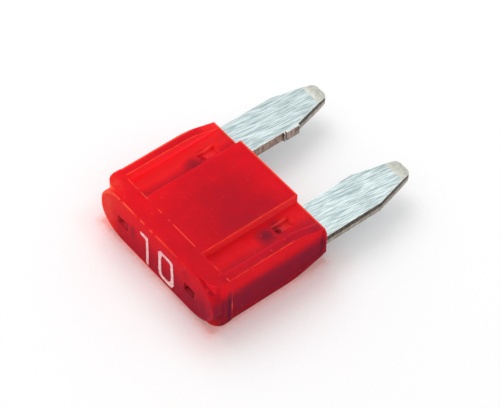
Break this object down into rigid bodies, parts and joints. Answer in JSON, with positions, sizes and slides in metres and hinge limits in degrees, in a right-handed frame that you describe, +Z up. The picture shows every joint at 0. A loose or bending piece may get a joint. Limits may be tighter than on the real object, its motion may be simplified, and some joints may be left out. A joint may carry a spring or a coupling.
{
  "type": "automotive blade fuse",
  "caption": "Small automotive blade fuse: translucent red moulded housing with an oval head, on a stamped zinc element with tapered blades, lying on its broad face.",
  "frame": {"origin": "bottom centre of the bounding box, on the plane that the broad face rests on", "axes": "+X across the blades, +Y along the blades towards their tips, +Z up through the thickness"},
  "size_m": [0.0112, 0.0164, 0.0039],
  "materials": {
    "red_plastic": "translucent gloss moulding",
    "zinc_alloy": "rolled zinc alloy with fine lengthwise brushing"
  },
  "bodies": {
    "root": {"housing": "red_plastic", "fuse_element": "zinc_alloy"}
  },
  "joints": []
}
